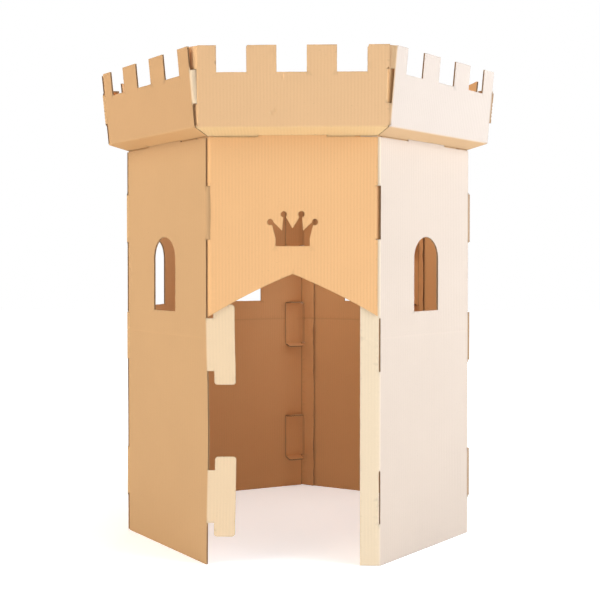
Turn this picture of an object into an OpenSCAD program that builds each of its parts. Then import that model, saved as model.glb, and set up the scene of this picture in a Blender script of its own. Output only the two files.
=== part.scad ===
// Cardboard play castle: a seven-sided tower of folded corrugated sheets.
// Millimetres, +Z up, the door faces -Y. The origin is on the floor, in the middle of the plan.
// Each wall and each battlement is one sheet. A flange on its left edge lies behind the sheet
// to its left, and T-shaped tabs on its right edge go through slits in the fold of the next sheet.

/* [Tower] */
// Width of one wall on the outside, from corner to corner
wall_w = 400; // [370:1:450]
// Height of a wall, from the floor to its top edge
wall_h = 1000; // [940:5:1100]

/* [Board] */
// Thickness of the corrugated board
board = 4; // [3:0.25:5]
// Radius on the inside of a fold
fold_r = 1; // [0.5:0.25:2]
// Play between two boards that lie against each other
play = 0.3; // [0.2:0.1:0.6]
// How much a fold crushes each face of the board
crush = 0.15; // [0.1:0.05:0.3]

/* [Corner joints] */
// Width of the flange on the left edge of a wall
flange_w = 44; // [36:1:50]
// Length of a tab's neck along the edge
neck_len = 124; // [100:1:140]
// From the corner of the tower to the near edge of a tab's head
head_gap = 14; // [12:0.5:20]
// Reach of a tab's head, across the wall behind it
head_w = 50; // [36:1:60]
// How far each ear of a head goes past the neck
ear_len = 32; // [20:1:36]
// Turn of an ear into the room, on a tab that is in use
ear_turn = 82; // [40:1:88]
// Corner radius of a tab's head
head_round = 10; // [4:1:14]
// Free length of a slit past each end of the neck in it
slit_end = 1.5; // [1:0.25:4]
// Height of the middle of the lowest tab above the floor
low_tab_z = 160; // [140:1:190]
// Place of the second tab between the lowest one, 0, and the highest one, 1
mid_tab_share = 0.537; // [0.5:0.001:0.58]
// From the top edge of a wall down to the middle of its highest tab
high_tab_drop = 175; // [165:1:200]
// From the corner back to the cut right edge of a sheet
edge_back = 1; // [0.5:0.25:3]

/* [Top tab] */
// Width of the neck on the top edge of a wall
top_neck_w = 160; // [120:1:200]
// Height of the neck on the top edge of a wall
top_neck_h = 14; // [13:0.5:20]
// Height of the head on the top edge of a wall
top_head_h = 50; // [30:1:60]

/* [Windows] */
// Width of a window
window_w = 106; // [80:1:140]
// Height of a window at its middle
window_h = 182; // [140:1:220]
// Height of a window sill above the floor
window_sill = 590; // [560:1:640]

/* [Crease] */
// Height of the packing crease above the floor
crease_z = 532; // [500:1:550]
// Width of the packing crease
crease_w = 5; // [3:0.5:8]
// Depth of the packing crease on each face of the board
crease_d = 0.5; // [0.2:0.1:0.8]

/* [Door] */
// From the neck of the second tab up to the lower corners of the door wall
eaves_gap = 4; // [3:0.5:12]
// Rise of the gable over the doorway
gable_rise = 99.5; // [60:0.5:120]
// How far each slope of the gable bulges up at its middle
gable_bulge = 5; // [0:0.5:8]

/* [Crown] */
// Place of the foot of the crown between the peak of the gable, 0, and the top edge of the wall, 1
crown_share = 0.204; // [0.15:0.002:0.28]
// Half the width of the crown at its foot
crown_half = 40; // [34:0.5:46]
// From the middle of the crown to an outer ball
outer_ball_x = 52; // [48:0.5:60]
// Height of an outer ball above the foot of the crown
outer_ball_z = 56; // [48:0.5:62]
// From the middle of the crown to an inner ball
inner_ball_x = 20.4; // [18:0.2:23]
// Height of an inner ball above the foot of the crown
inner_ball_z = 74; // [66:0.5:80]
// Radius of a ball
ball_r = 7.2; // [5:0.2:8]
// Height of the middle valley above the foot of the crown
mid_valley_z = 41; // [30:0.5:48]
// From the middle of the crown to a side valley
side_valley_x = 24.4; // [23.5:0.1:28]
// Height of a side valley above the foot of the crown
side_valley_z = 36; // [28:0.5:42]

/* [Battlement] */
// Length of the strip that rises outward over the wall
strip_len = 46; // [36:0.5:55]
// Slope of the strip above level
strip_slope = 18; // [10:0.5:30]
// Outward lean of the face
lean = 6; // [2:0.5:9]
// Height of the face, measured along it
face_h = 180; // [150:1:220]
// Width of a merlon, and of the crenel beside it
merlon_w = 68.5; // [56:0.5:74]
// Depth of a crenel
crenel_d = 60; // [40:1:80]
// Height of the apron that hangs inside the wall
apron_h = 43; // [30:1:50]
// From a flange of the next wall to the end of the apron
apron_clear = 12; // [10:0.5:30]
// Free height between the top edge of a wall and the strip
strip_gap = 2; // [1.2:0.1:4]
// Width of the flange on the left edge of a face
side_flange_w = 38; // [28:1:42]
// Length of the neck of the tab on the right edge of a face
side_neck_len = 76; // [60:1:90]
// Height of the middle of that tab along the face
side_tab_z = 88; // [80:1:95]
// Reach of the head of that tab
side_head_w = 27; // [20:0.5:28]
// How far each ear of that head goes past the neck
side_ear_len = 20; // [14:1:24]
// Corner radius of that head
side_head_round = 6; // [3:0.5:6.5]

/* [Hidden] */
$fn = 48;
sides = 7;
turn = 360 / sides;
apothem = wall_w / 2 / tan(turn / 2);
outer_r = fold_r + board;
lay = board + play;
wide = 4 * wall_w;

// Tabs of a wall, from the floor up
high_tab_z = wall_h - high_tab_drop;
mid_tab_z = low_tab_z + mid_tab_share * (high_tab_z - low_tab_z);
eaves_z = mid_tab_z + neck_len / 2 + eaves_gap;
gable_z = eaves_z + gable_rise;
crown_z = gable_z + crown_share * (wall_h - gable_z);

// Lower edge of the door wall: height at a distance from its middle
gable_steps = 12;
function gable_at(x) =
    let (t = abs(x) / (wall_w / 2))
    eaves_z + (1 - t) * (gable_rise + 4 * gable_bulge * t);

// From a corner back to the start of a fold whose flap lies at a given depth behind the next sheet
function setback(depth, angle) = (depth + outer_r * (1 - cos(angle))) / sin(angle);
wall_setback = setback(lay, turn);

// Left-hand side of a heading, and the points of one face of a strip of board seen edge on. The strip
// starts at pos with its outer face on the heading, the point lies deep behind that face, and each leg is
// a straight run and then a turn, to the left when positive
fold_steps = 6;
function dir(h) = [cos(h), sin(h)];
function left_of(h) = [-sin(h), cos(h)];
function bend_mid(pos, h, bend) = bend > 0 ? pos + outer_r * left_of(h) : pos - fold_r * left_of(h);
function bend_at(mid, h, bend, deep) =
    bend > 0 ? mid - (outer_r - deep) * left_of(h) : mid + (fold_r + deep) * left_of(h);
function trace(pos, h, legs, deep, i = 0) =
    let (run = legs[i][0], bend = legs[i][1], end = pos + run * dir(h))
    let (mid = bend_mid(end, h, bend))
    i == len(legs) - 1
        ? [end + deep * left_of(h)]
        : concat(
            [for (k = [0 : fold_steps]) bend_at(mid, h + bend * k / fold_steps, bend, deep)],
            trace(bend_at(mid, h + bend, bend, 0), h + bend, legs, deep, i + 1)
        );
function flipped(list) = [for (k = [1 : len(list)]) list[len(list) - k]];
function strip_points(pos, h, legs, inset) = concat(
    [pos + inset * left_of(h)],
    trace(pos, h, legs, inset),
    flipped(trace(pos, h, legs, board - inset)),
    [pos + (board - inset) * left_of(h)]
);

// Section of a battlement: o is outward from the wall's outer face, z is up
bend_o = fold_r - lay;
bend_z = wall_h + strip_gap - fold_r * cos(strip_slope) + fold_r;
strip_o = bend_o - fold_r * sin(strip_slope);
strip_z = bend_z + fold_r * cos(strip_slope);
knee_turn = 90 - lean - strip_slope;
knee_o = strip_o + strip_len * cos(strip_slope) - outer_r * sin(strip_slope);
knee_z = strip_z + strip_len * sin(strip_slope) + outer_r * cos(strip_slope);
face_o = knee_o + outer_r * cos(lean);
face_z = knee_z - outer_r * sin(lean);

// The plane of the face to the left, seen from a face: side_turn is the turn between the two across
// the face, and skew is how much deeper behind it a point lies for each millimetre up the face
skew = cos(lean) * sin(lean) * (1 - cos(turn));
side_turn = atan2(cos(lean) * sin(turn), pow(cos(lean), 2) * cos(turn) + pow(sin(lean), 2));
face_half = (apothem + face_o) * tan(turn / 2);
side_setback = setback(lay, side_turn);
side_foot = board + 4;
side_low = side_tab_z - side_neck_len / 2 - side_ear_len;
side_high = side_tab_z + side_neck_len / 2;
side_tab_depth = lay - skew * side_low;
side_tab_setback = setback(side_tab_depth, side_turn);
side_slit_more = 3;

// Crenels: as many as leave a strip of face at each end
end_min = 20;
crenels = 2 * floor((face_half - end_min - merlon_w / 2) / (2 * merlon_w)) + 1;

// The bounding box is centred on the origin, so the axis of the tower stands a little in front of it
top_reach = apothem + face_o + face_h * sin(lean);
back_reach = top_reach * cos(turn / 2) + (face_half - edge_back) * sin(turn / 2);
axis_y = (top_reach - back_reach) / 2;

kraft = [0.80, 0.62, 0.42];
kraft_light = [0.85, 0.68, 0.48];

// Puts a sheet drawn as the front one at its place round the tower, counted to the right
module at_side(i) {
    translate([0, axis_y, 0])
        rotate([0, 0, i * turn])
            translate([0, -apothem, 0])
                children();
}

// Draws what comes after a fold that turns toward +Y
module past_fold(angle) {
    translate([0, outer_r, 0])
        rotate([0, 0, angle])
            translate([0, -outer_r, 0])
                children();
}

// One fold of a given length, centred along Z, rooted in the board before it, and what comes after it
module fold_over(angle, length, inset) {
    start = [-outer_r * sin(angle), outer_r * (1 - cos(angle))] - board * dir(-angle);
    past_fold(angle) {
        linear_extrude(length, center = true)
            polygon(strip_points(start, -angle, [[board, angle], [board, 0]], inset));
        children();
    }
}

// Flat board standing in XZ, its outer face on Y = inset
module upright(inset) {
    translate([0, board - inset, 0])
        rotate([90, 0, 0])
            linear_extrude(board - 2 * inset)
                children();
}

// Block of board from x = 0, centred along Z
module block(length, width, inset) {
    translate([0, inset, -width / 2])
        cube([length, board - 2 * inset, width]);
}

// Rectangle with round corners, from x = 0, centred on y
module round_plate(length, width, r) {
    translate([0, -width / 2 + r])
        square([length, width - 2 * r]);
    translate([r, -width / 2])
        square([length - 2 * r, width]);
    for (x = [r, length - r])
        for (y = [r - width / 2, width / 2 - r])
            translate([x, y])
                circle(r = r);
}

// Ear of a head, turned up by an angle: it runs along +X, and only its far corners are round
module ear(length, width, angle, r) {
    fold_over(angle, width, 2 * crush) {
        block(length - r, width, 2 * crush);
        upright(2 * crush)
            round_plate(length, width, r);
    }
}

// Head of a tab, from x = 0, with ears turned by an angle
module head(reach, neck, ears, angle, r) {
    if (angle == 0) {
        upright(crush)
            round_plate(reach, neck + 2 * ears, r);
    } else {
        block(reach, neck - 2 * play, crush);
        for (side = [0, 1])
            mirror([0, 0, side])
                translate([reach / 2, 0, neck / 2])
                    rotate([0, -90, 0])
                        ear(ears, reach - 2 * edge_back, angle, r);
    }
}

// Tab on a right edge: a bend, a neck and a head
module tab(angle, run, reach, neck, ears, ear_angle, r) {
    root = ear_angle == 0 ? r : edge_back / 2;
    fold_over(angle, neck, crush) {
        block(run + root, neck, crush);
        translate([run, 0, 0])
            head(reach, neck, ears, ear_angle, r);
    }
}

// Packing crease, pressed into both faces of a run of board along X
module crease(length, inset) {
    for (y = [inset, board - inset])
        translate([0, y, crease_z])
            rotate([0, 90, 0])
                linear_extrude(length)
                    polygon([[-crease_w / 2, 0], [0, crease_d], [crease_w / 2, 0], [0, -crease_d]]);
}

// Arch-topped window in the plane of a wall
module window_outline() {
    spring = window_h - window_w / 2;
    translate([-window_w / 2, window_sill])
        square([window_w, spring]);
    translate([0, window_sill + spring])
        circle(d = window_w);
}

// Right half of the crown, from its foot up
module half_crown() {
    polygon([
        [0, 0],
        [crown_half, 0],
        [crown_half - 0.5, 18],
        [outer_ball_x - 4, outer_ball_z - 6],
        [outer_ball_x, outer_ball_z],
        [outer_ball_x - 6.5, outer_ball_z - 6],
        [side_valley_x, side_valley_z],
        [inner_ball_x + 1.4, inner_ball_z - 7],
        [inner_ball_x, inner_ball_z],
        [inner_ball_x - 5.4, inner_ball_z - 7],
        [0, mid_valley_z]
    ]);
    translate([outer_ball_x, outer_ball_z])
        circle(r = ball_r);
    translate([inner_ball_x, inner_ball_z])
        circle(r = ball_r);
}

// Flange on the left edge of a wall, with a slit beside its fold for each tab of the wall to its left
module wall_flange(low, high, slits) {
    difference() {
        mirror([1, 0, 0])
            translate([wall_w / 2 - wall_setback, 0, (low + high) / 2])
                fold_over(turn, high - low, crush)
                    block(flange_w, high - low, crush);
        for (z = slits)
            translate([-wall_w / 2 - 2 * lay, board + crush, z - neck_len / 2 - slit_end])
                cube([4 * lay, lay + play + 0.5, neck_len + 2 * slit_end]);
        mirror([1, 0, 0])
            translate([wall_w / 2 - wall_setback, 0, 0])
                past_fold(turn)
                    crease(flange_w + 1, crush);
    }
}

// Tabs on the right edge of a wall
module wall_tabs(heights, ear_angle) {
    run = head_gap + (outer_r * (1 - cos(turn)) * cos(turn) + lay * cos(turn)) / sin(turn)
        - outer_r * sin(turn);
    for (z = heights)
        translate([wall_w / 2 - wall_setback, 0, z])
            tab(turn, run, head_w, neck_len, ear_len, ear_angle, head_round);
}

// Flat middle of a wall: an outline from its left fold to its right edge, cut back at each tab
module wall_sheet(heights) {
    upright(0)
        difference() {
            union() {
                children();
                translate([-top_neck_w / 2, wall_h - 1])
                    square([top_neck_w, top_neck_h + 2]);
                translate([0, wall_h + top_neck_h])
                    rotate(90)
                        round_plate(top_head_h, top_neck_w + 2 * ear_len, head_round);
            }
            for (z = heights)
                translate([wall_w / 2 - wall_setback - play, z - neck_len / 2 - slit_end])
                    square([wall_setback + play, neck_len + 2 * slit_end]);
        }
}

// Wall with a window. The tabs in free_tabs hang flat and unused, those in used_tabs are in the next wall
module window_wall(i, used_tabs, free_tabs) {
    all_tabs = concat(used_tabs, free_tabs);
    left = wall_setback + play - wall_w / 2;
    color(kraft)
        at_side(i) {
            difference() {
                wall_sheet(all_tabs)
                    difference() {
                        translate([left, 0])
                            square([wall_w / 2 - edge_back - left, wall_h]);
                        window_outline();
                    }
                translate([left, 0, 0])
                    crease(wall_w, 0);
            }
            wall_tabs(used_tabs, ear_turn);
            wall_tabs(free_tabs, 0);
            wall_flange(edge_back, wall_h - edge_back, [low_tab_z, mid_tab_z, high_tab_z]);
        }
}

// Front sheet: a gable over the doorway and the crown
module door_wall() {
    left = wall_setback + play - wall_w / 2;
    right = wall_w / 2 - edge_back;
    slopes = [
        for (side = [left, right])
            [for (k = [1 : gable_steps]) side * k / gable_steps]
    ];
    lower_edge = concat(flipped(slopes[0]), [0], slopes[1]);
    color(kraft_light)
        at_side(0) {
            wall_sheet([high_tab_z])
                difference() {
                    polygon(concat(
                        [for (x = lower_edge) [x, gable_at(x)]],
                        [[right, wall_h], [left, wall_h]]
                    ));
                    for (side = [0, 1])
                        mirror([side, 0])
                            translate([0, crown_z])
                                half_crown();
                }
            wall_tabs([high_tab_z], ear_turn);
            wall_flange(eaves_z, wall_h - edge_back, [high_tab_z]);
        }
}

// Edge-on section of the foot of a battlement, in the frame of its face: x is behind the face, y is up it.
// From the face down come the knee, the strip, the bend over the wall and the apron
module foot_section() {
    legs = [[board, knee_turn], [strip_len, strip_slope - 90], [apron_h, 0]];
    polygon(strip_points([0, board], -90, legs, crush));
}

// Plan of a battlement: a wedge of the tower, so that each strip is mitred at its ends
module battlement_plan() {
    inner = 15 * board;
    outer = face_o + face_h;
    inner_half = (apothem - inner) * tan(turn / 2) - edge_back;
    outer_half = (apothem + outer) * tan(turn / 2) - edge_back;
    polygon([[-inner_half, inner], [-outer_half, -outer], [outer_half, -outer], [inner_half, inner]]);
}

// Front view of the apron below the strip: its ends slope in
module apron_outline() {
    apron_half = wall_w / 2 - wall_setback - flange_w - apron_clear;
    apron_foot = bend_z - apron_h - 1;
    polygon([
        [-apron_half + 12, apron_foot],
        [apron_half - 12, apron_foot],
        [apron_half, bend_z - 3],
        [apron_half, wall_h + strip_gap / 2],
        [face_half, wall_h + strip_gap / 2],
        [face_half, wall_h + face_h],
        [-face_half, wall_h + face_h],
        [-face_half, wall_h + strip_gap / 2],
        [-apron_half, wall_h + strip_gap / 2],
        [-apron_half, bend_z - 3]
    ]);
}

// Face of a battlement in its own plane, with its crenels
module face_outline() {
    left = side_setback + play - face_half;
    right = face_half - edge_back;
    difference() {
        union() {
            translate([left, 0])
                square([right - left, face_h]);
            translate([lay / sin(side_turn) - face_half, 0])
                square([face_half, side_foot]);
        }
        for (i = [0 : crenels - 1])
            translate([(2 * i - crenels) * merlon_w + merlon_w / 2, face_h - crenel_d])
                square([merlon_w, crenel_d + 1]);
        translate([face_half - side_tab_setback - play, side_tab_z - side_neck_len / 2 - slit_end])
            square([side_tab_setback + play, side_neck_len + 2 * slit_end]);
    }
}

// Frame of a face: X along it, Y behind it, Z up it, from the middle of its lower edge
module on_face() {
    translate([0, -face_o, face_z])
        rotate([lean, 0, 0])
            children();
}

// Back from the frame of a face to that of its wall
module off_face() {
    rotate([-lean, 0, 0])
        translate([0, face_o, -face_z])
            children();
}

// Knee, strip and apron of a battlement, mitred and slit, in the frame of its face
module battlement_foot() {
    difference() {
        intersection() {
            rotate([90, 0, 90])
                linear_extrude(wide, center = true)
                    foot_section();
            off_face()
                translate([0, 0, wall_h - 2 * apron_h])
                    linear_extrude(wide)
                        battlement_plan();
            off_face()
                rotate([90, 0, 0])
                    linear_extrude(wide, center = true)
                        apron_outline();
        }
        off_face()
            translate([-top_neck_w / 2 - slit_end, -play, wall_h])
                cube([top_neck_w + 2 * slit_end, board + 2 * play, 5 * board]);
    }
}

// Flange on the left edge of a face, with a slit for the tab of the face to its left
module face_flange() {
    length = face_h - side_foot - 2 * edge_back;
    slit_deep = side_tab_depth + skew * side_high + board + play;
    difference() {
        mirror([1, 0, 0])
            translate([face_half - side_setback, 0, side_foot + edge_back + length / 2])
                fold_over(side_turn, length, crush)
                    block(side_flange_w, length, crush);
        translate([-face_half - 4 * lay, board + crush, side_tab_z - side_neck_len / 2 - slit_end])
            cube([8 * lay, slit_deep - board + 0.5, side_neck_len + 2 * slit_end + side_slit_more]);
    }
}

// Tab on the right edge of a face
module face_tab() {
    run = head_gap + (outer_r * (1 - cos(side_turn)) + side_tab_depth) * cos(side_turn) / sin(side_turn)
        - outer_r * sin(side_turn);
    translate([face_half - side_tab_setback, 0, side_tab_z])
        tab(side_turn, run, side_head_w, side_neck_len, side_ear_len, ear_turn, side_head_round);
}

// Battlement over one wall
module battlement(i) {
    color(kraft)
        at_side(i)
            on_face() {
                upright(0)
                    face_outline();
                battlement_foot();
                face_flange();
                face_tab();
            }
}

module right_front_wall() {
    window_wall(1, [low_tab_z, mid_tab_z, high_tab_z], []);
}

module right_rear_wall() {
    window_wall(2, [low_tab_z, mid_tab_z, high_tab_z], []);
}

module rear_right_wall() {
    window_wall(3, [low_tab_z, mid_tab_z, high_tab_z], []);
}

module rear_left_wall() {
    window_wall(4, [low_tab_z, mid_tab_z, high_tab_z], []);
}

module left_rear_wall() {
    window_wall(5, [low_tab_z, mid_tab_z, high_tab_z], []);
}

// Its two lower tabs have no sheet to go into, because the doorway is there
module left_front_wall() {
    window_wall(6, [high_tab_z], [low_tab_z, mid_tab_z]);
}

module front_battlement() {
    battlement(0);
}

module right_front_battlement() {
    battlement(1);
}

module right_rear_battlement() {
    battlement(2);
}

module rear_right_battlement() {
    battlement(3);
}

module rear_left_battlement() {
    battlement(4);
}

module left_rear_battlement() {
    battlement(5);
}

module left_front_battlement() {
    battlement(6);
}

door_wall();
right_front_wall();
right_rear_wall();
rear_right_wall();
rear_left_wall();
left_rear_wall();
left_front_wall();
front_battlement();
right_front_battlement();
right_rear_battlement();
rear_right_battlement();
rear_left_battlement();
left_rear_battlement();
left_front_battlement();
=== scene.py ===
"""Dressed model of a cardboard play castle: fourteen folded sheets of corrugated board.

Each sheet is a function of two parameters. u runs across the flutes and v along them on the flat,
uncut board, and a third number, deep, goes from 0 on the outer face to the board's thickness on the
inner face. The sheet's flat pattern is cut out of that plane, and one fold map per kind of sheet takes
(u, v, deep) to its place on the tower, arc by arc and flat by flat. All lengths are millimetres until
the mesh is written in metres. Sides are counted to the right from the door's, which is 0.
"""

import math

import bpy
import numpy as np
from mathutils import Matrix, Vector
from mathutils.geometry import delaunay_2d_cdt


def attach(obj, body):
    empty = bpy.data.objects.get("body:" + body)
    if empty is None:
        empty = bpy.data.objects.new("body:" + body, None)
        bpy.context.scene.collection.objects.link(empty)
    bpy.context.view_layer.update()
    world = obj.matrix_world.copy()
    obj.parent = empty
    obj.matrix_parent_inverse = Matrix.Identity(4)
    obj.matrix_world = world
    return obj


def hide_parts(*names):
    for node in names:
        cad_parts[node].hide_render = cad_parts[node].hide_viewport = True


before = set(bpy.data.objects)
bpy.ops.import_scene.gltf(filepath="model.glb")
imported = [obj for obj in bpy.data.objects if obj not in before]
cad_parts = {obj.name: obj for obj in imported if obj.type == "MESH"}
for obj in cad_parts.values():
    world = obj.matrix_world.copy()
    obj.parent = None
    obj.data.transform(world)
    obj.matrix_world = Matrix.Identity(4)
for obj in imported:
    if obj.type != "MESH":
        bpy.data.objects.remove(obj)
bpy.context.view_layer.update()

# Board and tower, as in the solids
BOARD = 4.0
FOLD_R = 1.0
OUTER_R = FOLD_R + BOARD
MID_R = FOLD_R + BOARD / 2
PLAY = 0.3
LAY = BOARD + PLAY
WALL_W = 400.0
WALL_H = 1000.0
TURN = 2 * math.pi / 7
APOTHEM = WALL_W / 2 / math.tan(TURN / 2)
DOOR, RIGHT_FRONT, REAR_LEFT, LEFT_FRONT = 0, 1, 4, 6

# Flanges and tabs of the walls, as in the solids
FLANGE_W = 44.0
NECK = 124.0
HEAD_GAP = 14.0
HEAD_W = 50.0
EAR = 32.0
EAR_TURN = math.radians(82)
LOW_TAB = 160.0
HIGH_TAB = WALL_H - 175
MID_SHARE = 0.537
MID_TAB = LOW_TAB + MID_SHARE * (HIGH_TAB - LOW_TAB)
WALL_TABS = [LOW_TAB, MID_TAB, HIGH_TAB]
TOP_NECK_W = 160.0
TOP_NECK_H = 14.0
TOP_HEAD_H = 50.0

# Windows, packing crease, gable and crown, as in the solids
WINDOW_W = 106.0
WINDOW_H = 182.0
SILL = 590.0
CREASE_Z = 532.0
EAVES_CLEAR = 4.0
EAVES = MID_TAB + NECK / 2 + EAVES_CLEAR
GABLE_RISE = 99.5
GABLE_BULGE = 5.0
GABLE = EAVES + GABLE_RISE
CROWN_SHARE = 0.204
CROWN_Z = GABLE + CROWN_SHARE * (WALL_H - GABLE)
CROWN_BALL = 7.2

# Battlements, as in the solids but for a face that is a hair lower
STRIP_GAP = 2.0
STRIP_LEN = 46.0
SLOPE = math.radians(18)
LEAN = math.radians(6)
FACE_H = 179.95
MERLON = 68.5
CRENEL = 60.0
CRENELS = 3
APRON_H = 43.0
APRON_BEVEL = 12.0
APRON_SHOULDER = 3.0
APRON_SLIT = (-2.4, 4.7)
SIDE_FLANGE = 38.0
SIDE_NECK = 76.0
SIDE_TAB = 88.0
SIDE_HEAD = 27.0
SIDE_EAR = 20.0
SIDE_ROUND = 6.0

# Slack of the cut and folded sheets: set-back of edges, what stands higher, corners of the tab heads,
# ends of the slits, and where a slit lies past the end of its fold
EDGE_BACK = 1.0
TOP_MORE = 0.2
FLANGE_MORE = 1.2
FLANGE_TOP = 3.0
FLANGE_STEP = 3.0
UPPER_FLANGE = CREASE_Z + 20
FOOT = 1.5
BAND_SLACK = 0.7
BAND_TIGHT = 0.25
APRON_LEFT = 8.0
APRON_RIGHT = 3.0
HEAD_ROUND = 7.0
FREE_CUT = 9.0
SLIT_END = 0.15
SLIT_MORE = 1.0
WALL_SLIT = (-3.9, 6.9)
EMPTY_SLIT = (-3.4, -0.8)
BAND_SLIT = (0.3, 8.8)

# How a sheet's right edge was cut and pressed, by side: how far the edge stands back from the corner, and
# how far a used neck stands out past its fold
WALL_BACK = {0: 2.5, 1: 4.0, 5: 1.0, 6: 4.0}
BAND_BACK = {0: -1.0, 5: 1.0, 6: 3.0}
OTHER_BACK = 2.0
WALL_BULGE = {0: -2.5, 1: 8.5, 5: 7.5, 6: 3.0}
BAND_BULGE = {0: -3.0, 1: 8.5, 5: 8.5, 6: 4.0}
OTHER_BULGE = 3.0
NECK_SPAN = 24.0

# Ears are turned a little more or less than each other, in radians
EAR_REACH = 60.0
EAR_SPREAD = 0.08
EAR_VARY = 0.04

# Waves of a flange's free edge as size, length and phase, their mean, and how far each side's flange lifts
FLANGE_WAVES = ((0.3, 57, 0), (0.3, 19, 1), (0.2, 7.3, 2))
WAVE_MEAN = 0.3
FLANGE_LIFT = {DOOR: 1.0, RIGHT_FRONT: 1.0, REAR_LEFT: 6.0}
OTHER_LIFT = 3.2

# Bow of a wall's middle, and of the edge of the left front wall that no tab holds
BOW = 2.2
BOW_SPAN = 0.72
FREE_BOW = 5.0
FREE_FROM = 0.2
FREE_UP = 0.62

# Packing crease, and the half widths and strengths of the painted highlight outside and painted shade
# inside along it and along the folds; and how far past a tab's ears the tab tint, a painted light or
# shade, reaches
CREASE_DEPTH = 0.5
CREASE_HALF = 2.5
CREASE_SHADE_HALF = 3.2
FLANGE_SHADE, FLANGE_SHADE_HALF = 4.0, 3.0
BAND_SHADE, BAND_SHADE_HALF = 2.0, 2.0
TINT_MORE = 9.0

# Handling marks on the front battlement: place, radii, depth and stain; then torn bits of its outline
FRONT_MARKS = [
    (-46.6, 28, 5, 8, 1.7, 0.15),
    (-39.2, 33, 5, 8, 1.7, 0.15),
    (-18.3, 110, 1.6, 12, -0.8, -0.45),
    (-24, 108, 3, 10, 0.7, 0.05),
    (-173, 141.5, 2.6, 6, 0.9, 0.9),
]
MARK_DEPTH, MARK_STAIN = 4, 5
MARK_FALL = 0.35
FRONT_TORN = [
    [(171, 173.5), (173.5, 176), (174.5, 181), (171, 181)],
    [(-103, 176.5), (-101.2, 177.8), (-100.5, 181), (-103, 181)],
]

# Net of the flat board: how pieces of an outline overlap, steps of edges, lines and round stretches, the
# rim of points inside an edge, the grid and the finer grid of a mark
OVERLAP = 0.5
JOIN = 2.0
PAST_EDGE = 9.0
HAIR = 0.2
TINY = 1e-9
EDGE_STEP = 9.0
LINE_STEP = 14.4
FOLD_STEPS = 5
CORNER_STEPS = 6
BALL_STEPS = 18
ARCH_STEPS = 28
GABLE_POINTS = 13
RIM_IN, RIM_CLEAR = 2.5, 1.9
NET_STEP, NET_START, NET_CLEAR = 18.0, 7.0, 6.0
MARK_REACH, MARK_STEP, MARK_CLEAR = 1.5, 0.25, 1.0

# Layers through the board at a cut edge: depth, and how far the layer stands back from the cut. It stands
# back further on edges that run along the flutes. The edge itself is frayed by a hash of its place.
LINER, MEDIUM, MEDIUM_BACK = 0.42, 0.5, 0.75
LAYERS = (
    (0.0, 0.0), (LINER, 0.0), (MEDIUM, MEDIUM_BACK),
    (BOARD - MEDIUM, MEDIUM_BACK), (BOARD - LINER, 0.0), (BOARD, 0.0),
)
BACK_ACROSS, BACK_ALONG = 0.35, 2.85
FRAY = 0.4
FRAY_HASH = (12.9898, 78.233)
FRAY_SCALE = 43758.5453
SHARP_ANGLE = math.radians(28)


def setback(depth, angle, radius=OUTER_R):
    """From a corner back to the start of a fold whose flap lies at a depth behind the next sheet."""
    return (depth + radius * (1 - math.cos(angle))) / math.sin(angle)


def neck_run(depth, angle):
    """Straight length of a neck between its fold and its head, which lies a gap past the corner."""
    turned = OUTER_R * (1 - math.cos(angle)) + depth
    return HEAD_GAP + turned * math.cos(angle) / math.sin(angle) - OUTER_R * math.sin(angle)


# Places on the flat pattern of a wall: where a tab's fold starts and where its head does
EAR_ARC = MID_R * EAR_TURN
WALL_ARC = MID_R * TURN
WALL_U = WALL_W / 2 - setback(LAY, TURN)
HEAD_U = WALL_U + WALL_ARC + neck_run(LAY, TURN)

# The long fold of a flange is rounder than the solid's; the flange lies where the solid's does
SOFT_R = 7.0
SOFT_ARC = (SOFT_R - BOARD / 2) * TURN
SOFT_U = WALL_W / 2 - setback(LAY, TURN, SOFT_R)
SOFT_END = SOFT_U + SOFT_ARC
SOFT_FLANGE = FLANGE_W - (WALL_U - SOFT_U)
FLANGE_END = SOFT_END + SOFT_FLANGE

# Section of a battlement, as in the solids: o is outward from the wall, z is up
BEND_O = FOLD_R - LAY
BEND_Z = WALL_H + STRIP_GAP - FOLD_R * math.cos(SLOPE) + FOLD_R
STRIP_O = BEND_O - FOLD_R * math.sin(SLOPE)
STRIP_Z = BEND_Z + FOLD_R * math.cos(SLOPE)
KNEE_TURN = math.pi / 2 - LEAN - SLOPE
KNEE_O = STRIP_O + STRIP_LEN * math.cos(SLOPE) - OUTER_R * math.sin(SLOPE)
KNEE_Z = STRIP_Z + STRIP_LEN * math.sin(SLOPE) + OUTER_R * math.cos(SLOPE)
FACE_O = KNEE_O + OUTER_R * math.cos(LEAN)
FACE_Z = KNEE_Z - OUTER_R * math.sin(LEAN)
BEND_TURN = math.pi / 2 - SLOPE
KNEE_ARC = MID_R * KNEE_TURN
BEND_ARC = MID_R * BEND_TURN
STRIP_END = KNEE_ARC + STRIP_LEN
BEND_END = STRIP_END + BEND_ARC

# Places on the flat pattern of a battlement: two leaning faces meet at less than the corner's angle
FACE_HALF = (APOTHEM + FACE_O) * math.tan(TURN / 2)
STRIP_HALF = (APOTHEM + STRIP_O) * math.tan(TURN / 2)
SKEW = math.cos(LEAN) * math.sin(LEAN) * (1 - math.cos(TURN))
SIDE_TURN = math.atan2(
    math.cos(LEAN) * math.sin(TURN),
    math.cos(LEAN) ** 2 * math.cos(TURN) + math.sin(LEAN) ** 2,
)
SIDE_ARC = MID_R * SIDE_TURN
SIDE_DEPTH = LAY - SKEW * (SIDE_TAB - SIDE_NECK / 2 - SIDE_EAR)
FACE_U = FACE_HALF - setback(LAY + BAND_SLACK, SIDE_TURN)
FACE_END = FACE_U + SIDE_ARC
FACE_TAB_U = FACE_HALF - setback(SIDE_DEPTH, SIDE_TURN)
SIDE_HEAD_U = FACE_TAB_U + SIDE_ARC + neck_run(SIDE_DEPTH, SIDE_TURN)

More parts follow.
